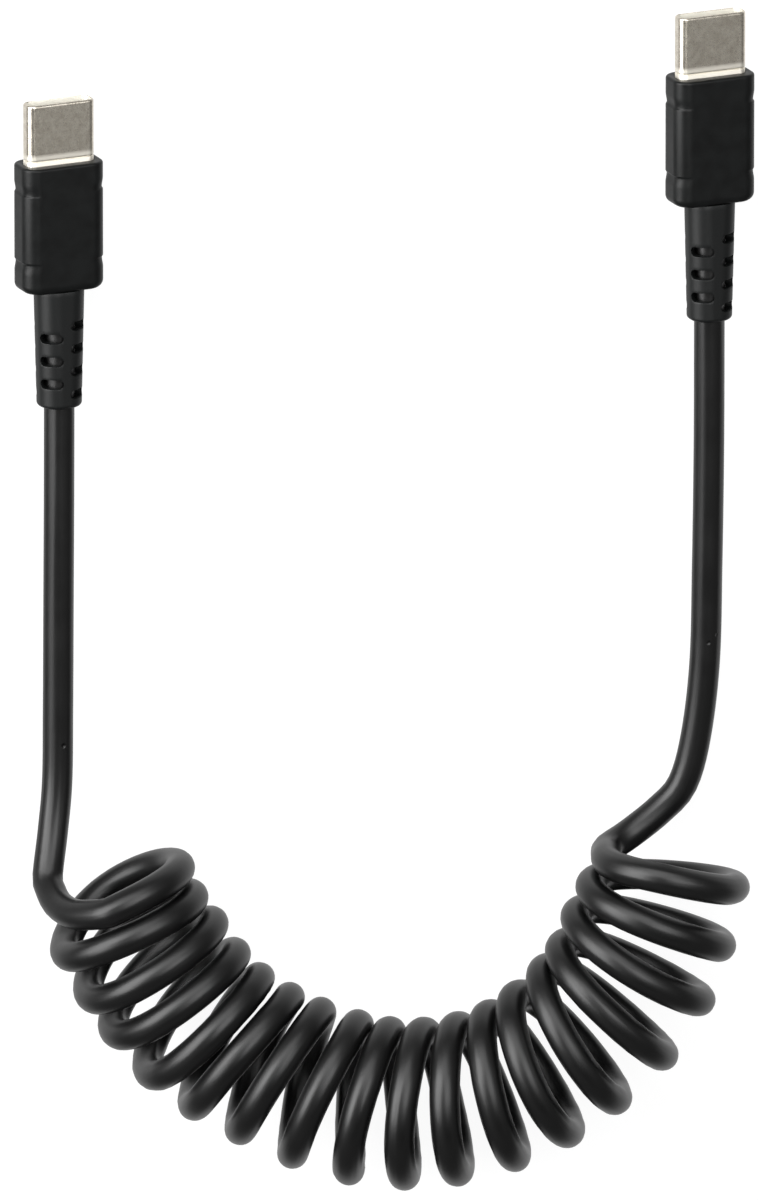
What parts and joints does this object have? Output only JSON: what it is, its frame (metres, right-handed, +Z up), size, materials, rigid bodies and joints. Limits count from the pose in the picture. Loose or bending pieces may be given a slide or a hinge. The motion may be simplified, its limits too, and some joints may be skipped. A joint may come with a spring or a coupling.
{
  "type": "usb-c charging cable",
  "caption": "Coiled charging cable with the same reversible metal plug, moulded housing and windowed strain relief on each end.",
  "frame": {"origin": "on the floor, under the middle of the box around the two plugs", "axes": "+Z up; +Y the way both plugs point; +X from the left plug to the right plug"},
  "size_m": [0.0852, 0.1382, 0.0192],
  "materials": {
    "plug_metal": "satin nickel plate, bright on the rounded edges",
    "contact_block": "moulded",
    "housing": "fine moulded texture, satin",
    "strain_relief": "soft moulded plastic, satin",
    "cord_jacket": "smooth extruded jacket, satin"
  },
  "bodies": {
    "root": {"plug_shell_left": "plug_metal", "plug_shell_right": "plug_metal", "contact_block_left": "contact_block", "contact_block_right": "contact_block", "plug_housing_left": "housing", "plug_housing_right": "housing", "strain_relief_left": "strain_relief", "strain_relief_right": "strain_relief", "tail_left": "cord_jacket", "coil": "cord_jacket", "tail_right": "cord_jacket"}
  },
  "joints": []
}
